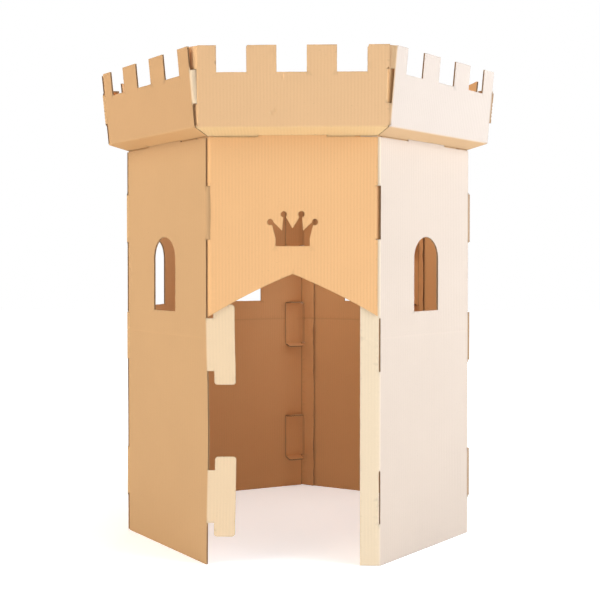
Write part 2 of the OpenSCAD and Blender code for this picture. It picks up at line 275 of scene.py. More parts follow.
# The tower's axis, for an origin in the middle of the box seen from above
TOP_REACH = APOTHEM + FACE_O + FACE_H * math.sin(LEAN)
BACK_REACH = TOP_REACH * math.cos(TURN / 2) + (FACE_HALF - EDGE_BACK) * math.sin(TURN / 2)
AXIS_Y = (TOP_REACH - BACK_REACH) / 2


# Outlines on the flat board


def box(u0, v0, u1, v1):
    """Rectangle from its low corner to its high corner."""
    return np.array([(u0, v0), (u1, v0), (u1, v1), (u0, v1)], float)


def arc(cu, cv, r, a0, a1, steps):
    """Points on a circle of radius r, from angle a0 to a1 in degrees."""
    a = np.radians(np.linspace(a0, a1, steps + 1))
    return np.column_stack([cu + r * np.cos(a), cv + r * np.sin(a)])


def round_box(u0, v0, u1, v1, r):
    """Rectangle with quarter circles at its corners."""
    corners = [(u1 - r, v0 + r, -90), (u1 - r, v1 - r, 0), (u0 + r, v1 - r, 90), (u0 + r, v0 + r, 180)]
    return np.vstack([arc(cu, cv, r, a, a + 90, CORNER_STEPS) for cu, cv, a in corners])


def window():
    """Arch-topped window: a rectangle and half a circle."""
    spring = SILL + WINDOW_H - WINDOW_W / 2
    low = np.array([(-WINDOW_W / 2, SILL), (WINDOW_W / 2, SILL)])
    return np.vstack([low, arc(0, spring, WINDOW_W / 2, 0, 180, ARCH_STEPS)])


def crown():
    """Outline of the crown: its right half, with two balls on points, and the mirror of it."""
    right = np.vstack([
        [(40, 0), (39.5, 18), (48, 50)],
        arc(52, 56, CROWN_BALL, -100, 185, BALL_STEPS),
        [(24.4, 36), (21.8, 67)],
        arc(20.4, 74, CROWN_BALL, -72, 235, BALL_STEPS),
        [(0, 41)],
    ])
    left = right[:-1][::-1] * (-1, 1)
    return np.vstack([right, left]) + (0, CROWN_Z)


def wall_tab(v0, ear):
    """Neck and head of one tab on a right edge, centred on v0, with ears of the given flat length."""
    neck = box(WALL_U - OVERLAP, v0 - NECK / 2, HEAD_U + HEAD_ROUND, v0 + NECK / 2)
    half = NECK / 2 + ear
    return [neck, round_box(HEAD_U, v0 - half, HEAD_U + HEAD_W, v0 + half, HEAD_ROUND)]


def top_tab():
    """Neck and head on the top edge of a wall."""
    half = TOP_NECK_W / 2
    low = WALL_H + TOP_NECK_H
    neck = box(-half, WALL_H - JOIN, half, low + JOIN)
    return [neck, round_box(-half - EAR, low, half + EAR, low + TOP_HEAD_H, HEAD_ROUND)]


def beside_neck(v0, u0, half):
    """The two short cuts that free a neck from the edge beside it."""
    return [
        box(u0 - PLAY, v0 + half, u0 + FREE_CUT, v0 + half + SLIT_END),
        box(u0 - PLAY, v0 - half - SLIT_END, u0 + FREE_CUT, v0 - half),
    ]


def fold_slit(v0, half, fold_end, reach, more=0.0):
    """Slit beside the fold of a left flange, for the neck of the next sheet: it reaches from one distance
    past the fold's end to another, and may go on a little at its top."""
    near, far = reach
    return box(-fold_end - far, v0 - half - SLIT_END, -fold_end - near, v0 + half + SLIT_END + more)


def fold_lines(u0, length, v0, v1):
    """Lines along an upright fold: its start, steps through it and its end."""
    places = [u0 + length * k / FOLD_STEPS for k in range(FOLD_STEPS + 1)]
    return [((u, v0), (u, v1)) for u in places]


def level_lines(half, v0, length):
    """Lines along a level fold that starts at v0 and runs down."""
    places = [v0 - length * k / FOLD_STEPS for k in range(FOLD_STEPS + 1)]
    return [((-half, v), (half, v)) for v in places]


def ear_lines(v0, half, near, width):
    """Lines along the folds of a tab's two ears."""
    steps = [EAR_ARC * k / FOLD_STEPS for k in range(FOLD_STEPS + 1)]
    places = [v0 + sign * (half + step) for step in steps for sign in (-1, 1)]
    return [((near, v), (near + width, v)) for v in places]


def used_tabs(side):
    """Tabs that go through the next sheet. The door wall is short, so only the high ones meet it."""
    return [HIGH_TAB] if side in (DOOR, LEFT_FRONT) else WALL_TABS


def wall_pattern(side):
    """Flat pattern of a window wall: what is board, what is cut out of it and where it folds. The ears of
    an unused tab were never bent, so they have no arc."""
    right = WALL_W / 2 - WALL_BACK.get(side, OTHER_BACK)
    used = used_tabs(side)
    adds = [
        box(-SOFT_U - OVERLAP, 0, right, WALL_H + TOP_MORE),
        box(-FLANGE_END, EDGE_BACK, -SOFT_U, WALL_H + FLANGE_MORE),
        box(-FLANGE_END, UPPER_FLANGE, -SOFT_END - FLANGE_STEP, WALL_H + FLANGE_TOP),
    ]
    adds += top_tab()
    cuts = [window()]
    creases = [CREASE_Z - CREASE_HALF, CREASE_Z, CREASE_Z + CREASE_HALF]
    lines = [((-FLANGE_END, v), (WALL_W / 2, v)) for v in creases]
    lines += fold_lines(-SOFT_END, SOFT_ARC, 0, WALL_H)
    for v0 in used + [v for v in WALL_TABS if v not in used]:
        adds += wall_tab(v0, EAR_ARC + EAR if v0 in used else EAR)
        cuts += beside_neck(v0, WALL_U, NECK / 2)
        lines += fold_lines(WALL_U, WALL_ARC, v0 - NECK / 2, v0 + NECK / 2)
    for v0 in used:
        lines += ear_lines(v0, NECK / 2, HEAD_U, HEAD_W)
    for v0 in WALL_TABS:
        empty = side == RIGHT_FRONT and v0 != HIGH_TAB
        cuts.append(fold_slit(v0, NECK / 2, SOFT_END, EMPTY_SLIT if empty else WALL_SLIT))
    return adds, cuts, lines


def gable_at(u):
    """Height of the door wall's lower edge: two slopes to the peak, each with a parabolic bulge. The left
    one ends where the flange's fold ends, the right one at the corner."""
    t = np.where(u < 0, -u / SOFT_END, u / (WALL_W / 2))
    return EAVES + (1 - t) * (GABLE_RISE + 4 * GABLE_BULGE * t)


def door_pattern():
    """Flat pattern of the front sheet: a gable below, the crown in the middle."""
    right, top = WALL_W / 2 - WALL_BACK[DOOR], WALL_H + TOP_MORE
    left_u, right_u = np.linspace(-SOFT_END, 0, GABLE_POINTS), np.linspace(0, right, GABLE_POINTS)
    low_u = np.concatenate([left_u, right_u[1:]])
    low = np.column_stack([low_u, gable_at(low_u)])
    adds = [
        np.vstack([low, [(right, top), (-SOFT_END, top)]]),
        box(-FLANGE_END, EAVES, -SOFT_END + HAIR, WALL_H + FLANGE_MORE),
        box(-SOFT_END, GABLE, -SOFT_U + OVERLAP, WALL_H + FLANGE_MORE),
        box(-FLANGE_END, GABLE, -SOFT_END - FLANGE_STEP, WALL_H + FLANGE_TOP),
    ]
    adds += top_tab() + wall_tab(HIGH_TAB, EAR_ARC + EAR)
    cuts = [crown(), fold_slit(HIGH_TAB, NECK / 2, SOFT_END, WALL_SLIT)]
    cuts += beside_neck(HIGH_TAB, WALL_U, NECK / 2)
    lines = fold_lines(-SOFT_END, SOFT_ARC, EAVES, WALL_H)
    lines += fold_lines(WALL_U, WALL_ARC, HIGH_TAB - NECK / 2, HIGH_TAB + NECK / 2)
    lines += ear_lines(HIGH_TAB, NECK / 2, HEAD_U, HEAD_W)
    return adds, cuts, lines


def apron():
    """Outline of the flap that hangs inside the wall, with bevelled lower corners."""
    left, right = APRON_LEFT - WALL_U, WALL_U - FLANGE_W - APRON_RIGHT
    top, shoulder, foot = JOIN - STRIP_END, -BEND_END - APRON_SHOULDER, -BEND_END - APRON_H
    return np.array([
        (left, top), (left, shoulder), (left + APRON_BEVEL, foot),
        (right - APRON_BEVEL, foot), (right, shoulder), (right, top),
    ])


def band_pattern(side):
    """Flat pattern of a battlement: face, knee, strip, bend and apron, one below the other."""
    knee_half, bend_half = FACE_HALF - EDGE_BACK, STRIP_HALF - EDGE_BACK
    neck_low, neck_high = SIDE_TAB - SIDE_NECK / 2, SIDE_TAB + SIDE_NECK / 2
    head_half = SIDE_NECK / 2 + EAR_ARC + SIDE_EAR
    head_low, head_high = SIDE_TAB - head_half, SIDE_TAB + head_half
    adds = [
        box(-FACE_U - OVERLAP, 0, FACE_HALF - BAND_BACK.get(side, OTHER_BACK), FACE_H),
        box(-FACE_HALF + LAY / math.sin(SIDE_TURN), 0, -FACE_U, FOOT),
        box(-FACE_END - SIDE_FLANGE, FOOT + HAIR, -FACE_U, FACE_H - EDGE_BACK),
        np.array([(-knee_half, 0), (-bend_half, -STRIP_END), (bend_half, -STRIP_END), (knee_half, 0)]),
        apron(),
        box(FACE_TAB_U - OVERLAP, neck_low, SIDE_HEAD_U + SIDE_ROUND, neck_high),
        round_box(SIDE_HEAD_U, head_low, SIDE_HEAD_U + SIDE_HEAD, head_high, SIDE_ROUND),
    ]
    crenels = [(2 * k - CRENELS + 0.5) * MERLON for k in range(CRENELS)]
    cuts = [box(left, FACE_H - CRENEL, left + MERLON, FACE_H + PAST_EDGE) for left in crenels]
    cuts += beside_neck(SIDE_TAB, FACE_TAB_U, SIDE_NECK / 2)
    cuts.append(fold_slit(SIDE_TAB, SIDE_NECK / 2, FACE_END, BAND_SLIT, SLIT_MORE))
    slit_half = TOP_NECK_W / 2 + SLIT_END
    slit_low, slit_high = APRON_SLIT
    cuts.append(box(-slit_half, -STRIP_END + slit_low, slit_half, -STRIP_END + slit_high))
    if side == DOOR:
        cuts += [np.array(torn, float) for torn in FRONT_TORN]
    lines = level_lines(knee_half, 0, KNEE_ARC) + level_lines(bend_half, -STRIP_END, BEND_ARC)
    lines += fold_lines(-FACE_END, SIDE_ARC, FOOT + HAIR, FACE_H - EDGE_BACK)
    lines += fold_lines(FACE_TAB_U, SIDE_ARC, neck_low, neck_high)
    lines += ear_lines(SIDE_TAB, SIDE_NECK / 2, SIDE_HEAD_U, SIDE_HEAD)
    return adds, cuts, lines


# From an outline to a mesh of the flat board


def inside(points, polygon):
    """Which points lie in a polygon: the ray to the right crosses its edges an odd number of times."""
    a, b = polygon, np.roll(polygon, -1, axis=0)
    pu, pv = points[:, :1], points[:, 1:]
    spans = (a[:, 1] > pv) != (b[:, 1] > pv)
    rise = np.where(b[:, 1] == a[:, 1], TINY, b[:, 1] - a[:, 1])
    cross = a[:, 0] + (pv - a[:, 1]) * (b[:, 0] - a[:, 0]) / rise
    return (np.sum(spans & (pu < cross), axis=1) % 2) == 1


def on_board(points, adds, cuts):
    """Which points lie on the board: in some piece of the outline and in no cut."""
    keep = np.any([inside(points, p) for p in adds], axis=0)
    return keep & ~np.any([inside(points, p) for p in cuts], axis=0)


def distance(points, a, b, batch=400):
    """Distance from each point to the nearest of the segments a to b, some segments at a time."""
    best = np.full(len(points), np.inf)
    for start in range(0, len(a), batch):
        p, q = a[start:start + batch], b[start:start + batch]
        along = q - p
        size = np.maximum((along ** 2).sum(1), TINY ** 2)
        rel = points[:, None, :] - p[None]
        t = np.clip((rel * along[None]).sum(2) / size, 0, 1)
        gap = np.linalg.norm(rel - t[:, :, None] * along[None], axis=2)
        best = np.minimum(best, gap.min(1))
    return best


def side_normal(run):
    """Unit normals to the right of each run, or nearly zero for a run of no length."""
    size = np.maximum(np.linalg.norm(run, axis=1), TINY)
    return np.column_stack([run[:, 1], -run[:, 0]]) / size[:, None]


def split(polygon, step, closed=True):
    """A polygon or line with its long edges cut into equal steps."""
    a = np.asarray(polygon, float)
    b = np.roll(a, -1, axis=0) if closed else a[1:]
    out = []
    for p, q in zip(a, b):
        count = max(1, int(math.ceil(np.linalg.norm(q - p) / step)))
        out.append(p + (q - p) * np.arange(count)[:, None] / count)
    return np.vstack(out + ([] if closed else [a[-1:]]))


def fixed_net(adds, cuts, lines):
    """Points and edges that the net of the flat board has to keep: its outlines and its fold lines."""
    points, edges, base = [], [], 0
    for loop in [split(p, EDGE_STEP) for p in adds + cuts]:
        n = len(loop)
        edges += [(base + k, base + (k + 1) % n) for k in range(n)]
        points.append(loop)
        base += n
    for chain in [split(line, LINE_STEP, False) for line in lines]:
        n = len(chain)
        edges += [(base + k, base + k + 1) for k in range(n - 1)]
        points.append(chain)
        base += n
    return np.vstack(points), edges


def flat_mesh(adds, cuts, lines, marks):
    """Points and triangles of the flat board: its outline, its fold lines, a rim of points just inside the
    outline and a grid between them, finer at a mark, joined by a constrained Delaunay net."""
    fixed, edges = fixed_net(adds, cuts, lines)
    ends = np.array(edges)
    a, b = fixed[ends[:, 0]], fixed[ends[:, 1]]
    middle, inward = (a + b) / 2, RIM_IN * -side_normal(b - a)
    rim = np.vstack([middle + inward, middle - inward])
    rim = rim[distance(rim, a, b) > RIM_CLEAR]
    low, high = fixed.min(0) + NET_START, fixed.max(0)
    gu, gv = np.meshgrid(np.arange(low[0], high[0], NET_STEP), np.arange(low[1], high[1], NET_STEP))
    gu[1::2] += NET_STEP / 2
    net = np.column_stack([gu.ravel(), gv.ravel()])
    spots = [net[distance(net, a, b) > NET_CLEAR], rim]
    steps = np.arange(-MARK_REACH, MARK_REACH + TINY, MARK_STEP)
    ku, kv = np.meshgrid(steps, steps)
    for mu, mv, ru, rv, _, _ in marks:
        spot = np.column_stack([mu + ru * ku.ravel(), mv + rv * kv.ravel()])
        spots.append(spot[distance(spot, a, b) > MARK_CLEAR])
    extra = np.vstack(spots)
    extra = extra[on_board(extra, adds, cuts)]
    every = np.vstack([fixed, extra])
    result = delaunay_2d_cdt([Vector(p) for p in every.tolist()], edges, [], 0, 1e-4)
    flat = np.array([(p.x, p.y) for p in result[0]])
    tris = np.array([f for f in result[2] if len(f) == 3])
    tris = tris[on_board(flat[tris].mean(1), adds, cuts)]
    first, second = flat[tris[:, 1]] - flat[tris[:, 0]], flat[tris[:, 2]] - flat[tris[:, 0]]
    clockwise = first[:, 0] * second[:, 1] < first[:, 1] * second[:, 0]
    tris[clockwise] = tris[clockwise][:, ::-1]
    used, tris = np.unique(tris, return_inverse=True)
    return flat[used], tris.reshape(-1, 3)


def open_edges(tris):
    """Edges that only one triangle has, in that triangle's direction: the cut edge of the board."""
    pairs = np.vstack([tris[:, [0, 1]], tris[:, [1, 2]], tris[:, [2, 0]]])
    key = np.sort(pairs, axis=1)
    key = key[:, 0].astype(np.int64) * (tris.max() + 1) + key[:, 1]
    _, place, count = np.unique(key, return_inverse=True, return_counts=True)
    return pairs[count[place] == 1]


# From the flat board to the folded sheet


def bend(along, deep, angle, length, radius=OUTER_R):
    """A fold seen edge on. Up to 0 the board is flat, then it is an arc whose middle has the given length
    and whose outer face has the given radius, then it is flat again. Gives the two plane coordinates."""
    phi = angle * np.clip(along / length, 0, 1)
    before = np.minimum(along, 0)
    after = np.maximum(along - length, 0)
    x = before + (radius - deep) * np.sin(phi) + after * math.cos(angle)
    y = radius - (radius - deep) * np.cos(phi) + after * math.sin(angle)
    return x, y


def hat(offset, half):
    """1 at no offset, falling in a straight line to 0 at the half width."""
    return np.clip(1 - np.abs(offset) / half, 0, 1)


def near_tabs(v, tabs, reach):
    """Which points lie within a reach of the middle of some tab."""
    return np.any([np.abs(v - v0) < reach for v0 in tabs], axis=0)


def fold_ears(u, v, deep, tabs, near, half):
    """Turns the two ears of each used tab toward the room, about lines at half its neck, each by the same
    angle and a little more or less."""
    out_v, out_deep = v.copy(), deep.copy()
    for k, v0 in enumerate(tabs):
        for sign in (-1, 1):
            along = sign * (v - v0) - half
            mask = (u > near - OVERLAP) & (along > 0) & (along < EAR_REACH)
            angle = EAR_TURN + EAR_SPREAD * sign + EAR_VARY * math.sin(2.3 * k + 1.7 * sign + v0)
            x, y = bend(along[mask], deep[mask], angle, EAR_ARC)
            out_v[mask] = v0 + sign * (half + x)
            out_deep[mask] = y
    return out_v, out_deep


def marked(u, v, marks, kind):
    """Handling marks: a bell curve of given radii at each, times its depth or its stain."""
    total = np.zeros_like(u)
    for mark in marks:
        mu, mv, ru, rv = mark[:4]
        total += mark[kind] * np.exp(-(((u - mu) / ru) ** 2 + ((v - mv) / rv) ** 2) / MARK_FALL)
    return total


def neck_hump(u, start):
    """How a used neck stands out past its fold: one smooth hump, highest a third of the way along."""
    t = np.clip((u - start) / NECK_SPAN, 0, 1)
    return np.sin(np.pi * t ** 0.7) ** 2


def fold_wall(u, v, deep, tabs, bow, crease, lift, bulge):
    """Places a wall. Flat middle, left flange bent by one corner of the tower, tabs bent the same way on
    the right, ears turned up, a packing crease set in as a groove, a slight bow of the flat middle, and a
    flange whose free edge waves away from the sheet that it lies behind. The tabs are those that are
    used, all of them, and those that take the tab tint, which is painted light or shade. Also gives where
    the tint past the flange's fold and the tab tint go, and the painted highlight and shade along the
    packing crease and the flange's fold."""
    used, every, lit_tinted_tabs = tabs
    groove = CREASE_DEPTH * crease * hat(v - CREASE_Z, CREASE_HALF)
    off = np.clip((-u - SOFT_END) / SOFT_FLANGE, 0, 1)
    wave = WAVE_MEAN + sum(size * np.sin(v / length + phase) for size, length, phase in FLANGE_WAVES)
    flat_deep = deep + groove * (1 - 2 * deep / BOARD) + lift * off ** 2 * np.maximum(wave, 0)
    flat_deep -= np.where(near_tabs(v, used, NECK / 2 + HAIR), bulge * neck_hump(u, WALL_U), 0)
    swell = bow(np.clip(u, -WALL_U, WALL_U) / WALL_U, v / WALL_H)
    # Painted highlight on the outer face and painted shade on the inner face, along the packing crease and
    # the flange's fold
    crease_light_paint = crease * hat(v - CREASE_Z, CREASE_SHADE_HALF)
    crease_light_paint += FLANGE_SHADE * hat(u + SOFT_U + SOFT_ARC / 2, FLANGE_SHADE_HALF)
    # Share of the tab tint, painted light or shade, rising through the tab's fold
    tabbed = np.where(near_tabs(v, lit_tinted_tabs, NECK / 2 + EAR + TINT_MORE), (u - WALL_U) / WALL_ARC, 0)
    v, flat_deep = fold_ears(u, v, flat_deep, used, HEAD_U, NECK / 2)
    in_neck = near_tabs(v, every, NECK / 2 + HAIR)
    right = (u > WALL_U) & (in_neck | (u > WALL_U + FREE_CUT + OVERLAP))
    left = u < -SOFT_U
    x, y = u.copy(), flat_deep.copy()
    folds = ((right, 1, WALL_U, WALL_ARC, OUTER_R), (left, -1, SOFT_U, SOFT_ARC, SOFT_R))
    for mask, sign, start, length, radius in folds:
        bx, by = bend(sign * u[mask] - start, flat_deep[mask], TURN, length, radius)
        x[mask] = sign * (start + bx)
        y[mask] = by
    # Where the flange and tab tint go, which paint light and shade, and the painted highlight and shade
    # along crease and fold
    shades = {"turned": (-u - SOFT_U) / SOFT_ARC, "tabbed": np.where(right, tabbed, 0), "crease": crease_light_paint}
    return np.column_stack([x, y + swell, v]), shades


def fold_band(u, v, deep, marks, bulge, flange_lit_tint):
    """Places a battlement: its face with flange and tab bent at the sides, and below it the knee, the
    strip, the bend over the wall and the apron as one section, then the face's lean."""
    in_neck = near_tabs(v, [SIDE_TAB], SIDE_NECK / 2 + HAIR)
    deep = deep + marked(u, v, marks, MARK_DEPTH) - np.where(in_neck, bulge * neck_hump(u, FACE_TAB_U), 0)
    v, deep = fold_ears(u, v, deep, [SIDE_TAB], SIDE_HEAD_U, SIDE_NECK / 2)
    x, y, z = u.copy(), deep.copy(), v.copy()
    right = (v > 0) & (u > FACE_TAB_U) & (in_neck | (u > FACE_TAB_U + FREE_CUT + OVERLAP))
    left = (v > FOOT + HAIR / 2) & (u < -FACE_U)
    folds = ((right, 1, FACE_TAB_U, OUTER_R), (left, -1, FACE_U, OUTER_R - BAND_TIGHT))
    for mask, sign, start, radius in folds:
        bx, by = bend(sign * u[mask] - start, deep[mask], SIDE_TURN, SIDE_ARC, radius)
        x[mask] = sign * (start + bx)
        y[mask] = by
    down = -v
    knee = down > 0
    kx, ky = bend(np.minimum(down, STRIP_END), deep, KNEE_TURN, KNEE_ARC)
    y[knee], z[knee] = ky[knee], -kx[knee]
    past = down > STRIP_END
    heading = np.array([math.sin(KNEE_TURN), -math.cos(KNEE_TURN)])
    across = np.array([math.cos(KNEE_TURN), math.sin(KNEE_TURN)])
    flat_x, flat_y = bend(np.array([STRIP_END]), np.array([0.0]), KNEE_TURN, KNEE_ARC)
    corner = np.array([flat_y[0], -flat_x[0]])
    bx, by = bend(down[past] - STRIP_END, BOARD - deep[past], BEND_TURN, BEND_ARC)
    bent = corner + bx[:, None] * heading + (BOARD - by)[:, None] * across
    y[past], z[past] = bent[:, 0], bent[:, 1]
    lean_y = y * math.cos(LEAN) - z * math.sin(LEAN) - FACE_O
    lean_z = y * math.sin(LEAN) + z * math.cos(LEAN) + FACE_Z
    # Where the tint past the strip's or flange's fold and the tab tint go, which paint light and shade,
    # and a painted highlight outside and painted shade inside along the flange's fold
    shades = {
        "turned": np.where(left, flange_lit_tint * (-u - FACE_U) / SIDE_ARC, down / KNEE_ARC),
        "tabbed": np.where(right, (u - FACE_TAB_U) / SIDE_ARC, 0),
        "crease": np.where(left, BAND_SHADE * hat(u + FACE_U + SIDE_ARC / 2, BAND_SHADE_HALF), 0),
    }
    return np.column_stack([x, lean_y, lean_z]), shades


def at_side(points, side):
    """Turns points drawn for the front to their side of the tower, in metres."""
    a = side * TURN
    x, y = points[:, 0], points[:, 1] - APOTHEM
    return np.column_stack([
        x * math.cos(a) - y * math.sin(a), x * math.sin(a) + y * math.cos(a) + AXIS_Y, points[:, 2]
    ]) / 1000


def rim_of(flat, tris):
    """The cut edge of the flat board: its edges, the points on them and the outward normal at each."""
    edges = open_edges(tris)
    out = side_normal(flat[edges[:, 1]] - flat[edges[:, 0]])
    normal = np.zeros_like(flat)
    np.add.at(normal, edges[:, 0], out)
    np.add.at(normal, edges[:, 1], out)
    rim = np.unique(edges)
    size = np.linalg.norm(normal[rim], axis=1)
    return edges, rim, normal[rim] / np.maximum(size, 0.3)[:, None]


def paper_place(side, slot):
    """Where a sheet lies on the endless paper, in metres, so that no two sheets share their fibres."""
    return np.array([1.3 * side + 0.2, 2.1 * side + 0.7 * (slot != "battlement_board")])


def board_mesh(name, place, faces, quads):
    """Mesh of a sheet from its points, the triangles of its faces and the quads of its cut edge. Gives the
    mesh and the point of each of its corners."""
    mesh = bpy.data.meshes.new(name)
    corners = np.concatenate([faces.ravel(), quads.ravel()]).astype(np.int32)
    sizes = np.repeat([3, 4], [len(faces), len(quads)])
    mesh.vertices.add(len(place))
    mesh.vertices.foreach_set("co", place.ravel())
    mesh.loops.add(len(corners))
    mesh.loops.foreach_set("vertex_index", corners)
    mesh.polygons.add(len(sizes))
    mesh.polygons.foreach_set("loop_start", (np.cumsum(sizes) - sizes).astype(np.int32))
    mesh.polygons.foreach_set("material_index", (sizes == 4).astype(np.int32))
    mesh.update(calc_edges=True)
    mesh.polygons.foreach_set("use_smooth", np.ones(len(sizes), bool))
    return mesh, corners


def sheet(name, side, pattern, fold, marks, board, edge, slot):
    """One sheet as a closed mesh: the outer face, the inner face, and between them at every cut edge the
    two liners with the fluted layer a little behind them. The flat pattern stays as its UV map."""
    flat, tris = flat_mesh(*pattern, marks)
    count = len(flat)
    edges, rim, out = rim_of(flat, tris)
    rough = np.sin(flat[rim] @ FRAY_HASH + side) * FRAY_SCALE
    flat[rim] -= FRAY * (rough - np.floor(rough))[:, None] ** 3 * out
    back_share = BACK_ACROSS + BACK_ALONG * out[:, :1] ** 2
    rings = [flat[rim] - back * back_share * out for _, back in LAYERS[1:-1]]
    every = np.vstack([flat, flat] + rings)
    levels = [0.0, BOARD] + [level for level, _ in LAYERS[1:-1]]
    deep = np.repeat(levels, [count, count] + [len(rim)] * len(rings))
    ids = [rim]
    ids += [2 * count + k * len(rim) + np.arange(len(rim)) for k in range(len(rings))]
    ids.append(count + rim)
    ia, ib = np.searchsorted(rim, edges[:, 0]), np.searchsorted(rim, edges[:, 1])
    quads = np.vstack([
        np.column_stack([near[ia], far[ia], far[ib], near[ib]]) for near, far in zip(ids, ids[1:])
    ])
    place, shades = fold(every[:, 0], every[:, 1], deep)
    mesh, corners = board_mesh(name, at_side(place, side), np.vstack([tris, tris[:, ::-1] + count]), quads)
    uv = mesh.uv_layers.new(name="flat")
    uv.data.foreach_set("uv", (every / 1000 + paper_place(side, slot))[corners].ravel())
    gap = distance(every, flat[edges[:, 0]], flat[edges[:, 1]])
    shades["turned"] = np.clip(shades["turned"], 0, 1)
    shades["tabbed"] = np.clip(shades["tabbed"], 0, 1)
    shades["deep"] = deep / BOARD
    shades["rim"] = hat(gap, RIM_IN)
    shades["stain"] = marked(every[:, 0], every[:, 1], marks, MARK_STAIN)
    for label, values in shades.items():
        mesh.attributes.new(label, "FLOAT", "POINT").data.foreach_set("value", values)
    mesh.materials.append(board)
    mesh.materials.append(edge)
    mesh.set_sharp_from_angle(angle=SHARP_ANGLE)
    piece = bpy.data.objects.new(name, mesh)
    bpy.context.scene.collection.objects.link(piece)
    return piece


# Materials


def put(tree, kind, links=(), **values):
    """Adds a node, sets its properties by name, and fills sockets from (socket, value or output) pairs."""
    node = tree.nodes.new(kind)
    for key, value in values.items():
        setattr(node, key, value)
    for socket, source in links:
        if isinstance(source, bpy.types.NodeSocket):
            tree.links.new(source, node.inputs[socket])
        else:
            node.inputs[socket].default_value = source
    return node


def maths(tree, operation, first, second=0.0):
    """One step of arithmetic on a value."""
    return put(tree, "ShaderNodeMath", [(0, first), (1, second)], operation=operation).outputs[0]


def spread(tree, value, low, high, to_low, to_high):
    """Maps a value from one range to another, held at the ends."""
    links = [(0, value), (1, low), (2, high), (3, to_low), (4, to_high)]
    return put(tree, "ShaderNodeMapRange", links, clamp=True).outputs[0]


def noise(tree, place, scale, detail, roughness=0.5):
    """Cloudy noise over a place, about 0.5 on average."""
    links = [("Vector", place), ("Scale", scale), ("Detail", detail), ("Roughness", roughness)]
    return put(tree, "ShaderNodeTexNoise", links).outputs[0]


def shade_of(tree, name):
    """A value that the sheet's mesh carries at its points."""
    return put(tree, "ShaderNodeAttribute", attribute_name=name).outputs["Fac"]


def blend(tree, share, first, second):
    """A colour between two, the second where the share is 1."""
    links = [("Factor", share), ("A", first), ("B", second)]
    return put(tree, "ShaderNodeMix", links, data_type="RGBA").outputs["Result"]


def flute_wave(tree, flat):
    """A sine across the flat board, one period for each flute."""
    across = put(tree, "ShaderNodeSeparateXYZ", [(0, flat)]).outputs[0]
    return maths(tree, "SINE", maths(tree, "MULTIPLY", across, 2 * math.pi / (FLUTE / 1000)))


def new_group(name, inputs, outputs):
    """An empty node group with named sockets: (name, kind, default) in, (name, kind) out."""
    tree = bpy.data.node_groups.new(name, "ShaderNodeTree")
    for label, kind, default in inputs:
        tree.interface.new_socket(label, in_out="INPUT", socket_type=kind).default_value = default
    for label, kind in outputs:
        tree.interface.new_socket(label, in_out="OUTPUT", socket_type=kind)
    return tree, tree.nodes.new("NodeGroupInput"), tree.nodes.new("NodeGroupOutput")


def kraft_liner():
    """Brown kraft liner on corrugated board. Colour: fibres, flecks, slow clouds and the faint shadow of
    each flute, rubbed at the rim, a painted highlight outside and painted shade inside along a crease or
    a fold, and stained at a mark; one tint on the flat, others past a fold, on a tab and inside, and the
    outer ones partly paint light and shade, the same kraft paler where a part faces the lamps and darker
    where it turns away. Height: fibres and the washboard of the flutes."""
    tree, given, out = new_group(
        "kraft_liner",
        [("Outer Liner", "NodeSocketColor", (0.7, 0.5, 0.3, 1)),
         ("Turned Lit Liner", "NodeSocketColor", (0.7, 0.5, 0.3, 1)),
         ("Tab Lit Liner", "NodeSocketColor", (0.7, 0.5, 0.3, 1)),
         ("Inner Liner", "NodeSocketColor", (0.6, 0.4, 0.2, 1)),
         ("Flute Shadow", "NodeSocketFloat", 0.05),
         ("Cloud", "NodeSocketFloat", 0.08)],
        [("Color", "NodeSocketColor"), ("Roughness", "NodeSocketFloat"), ("Height", "NodeSocketFloat")],
    )
    flat = put(tree, "ShaderNodeUVMap", uv_map="flat").outputs[0]
    wave = flute_wave(tree, flat)
    thin = put(tree, "ShaderNodeMapping", [("Vector", flat), ("Scale", (1, 4, 1))]).outputs[0]
    fibre = noise(tree, thin, 420, 5, 0.7)
    cloud = noise(tree, flat, 7, 4)
    fleck = noise(tree, thin, 150, 2)
    patch = noise(tree, flat, 16, 2)
    lines = maths(tree, "MULTIPLY", wave, spread(tree, patch, 0.35, 0.65, 0.25, 1.0))
    shade = maths(tree, "MULTIPLY", lines, given.outputs["Flute Shadow"])
    shade = maths(tree, "ADD", shade, maths(tree, "MULTIPLY", maths(tree, "SUBTRACT", fibre, 0.5), 0.16))
    slow = maths(tree, "MULTIPLY", maths(tree, "SUBTRACT", cloud, 0.5), given.outputs["Cloud"])
    shade = maths(tree, "ADD", maths(tree, "ADD", shade, slow), 1.0)
    shade = maths(tree, "SUBTRACT", shade, spread(tree, fleck, 0.66, 0.76, 0.0, 0.16))
    worn = maths(tree, "MULTIPLY", shade_of(tree, "rim"), spread(tree, patch, 0.4, 0.7, 0.05, 0.3))
    shade = maths(tree, "SUBTRACT", shade, worn)
    deep = shade_of(tree, "deep")
    # Painted highlight on the outer face and painted shade on the inner face, along creases and folds
    crease_light_paint = maths(tree, "MULTIPLY", shade_of(tree, "crease"), spread(tree, deep, 0, 1, 0.03, -0.12))
    shade = maths(tree, "ADD", shade, crease_light_paint)
    shade = maths(tree, "SUBTRACT", shade, maths(tree, "MULTIPLY", shade_of(tree, "stain"), 0.6))
    # Past a fold and on a tab the same kraft is tinted paler or darker: painted light and shade
    outer, turned = given.outputs["Outer Liner"], given.outputs["Turned Lit Liner"]
    tint = blend(tree, shade_of(tree, "turned"), outer, turned)
    tint = blend(tree, shade_of(tree, "tabbed"), tint, given.outputs["Tab Lit Liner"])
    tint = blend(tree, deep, tint, given.outputs["Inner Liner"])
    colour = put(tree, "ShaderNodeVectorMath", [(0, tint), ("Scale", shade)], operation="SCALE").outputs[0]
    tree.links.new(colour, out.inputs["Color"])
    tree.links.new(spread(tree, fibre, 0.3, 0.7, 0.78, 0.92), out.inputs["Roughness"])
    height = maths(tree, "ADD", maths(tree, "MULTIPLY", wave, 0.5), maths(tree, "MULTIPLY", fibre, 0.6))
    tree.links.new(height, out.inputs["Height"])
    return tree


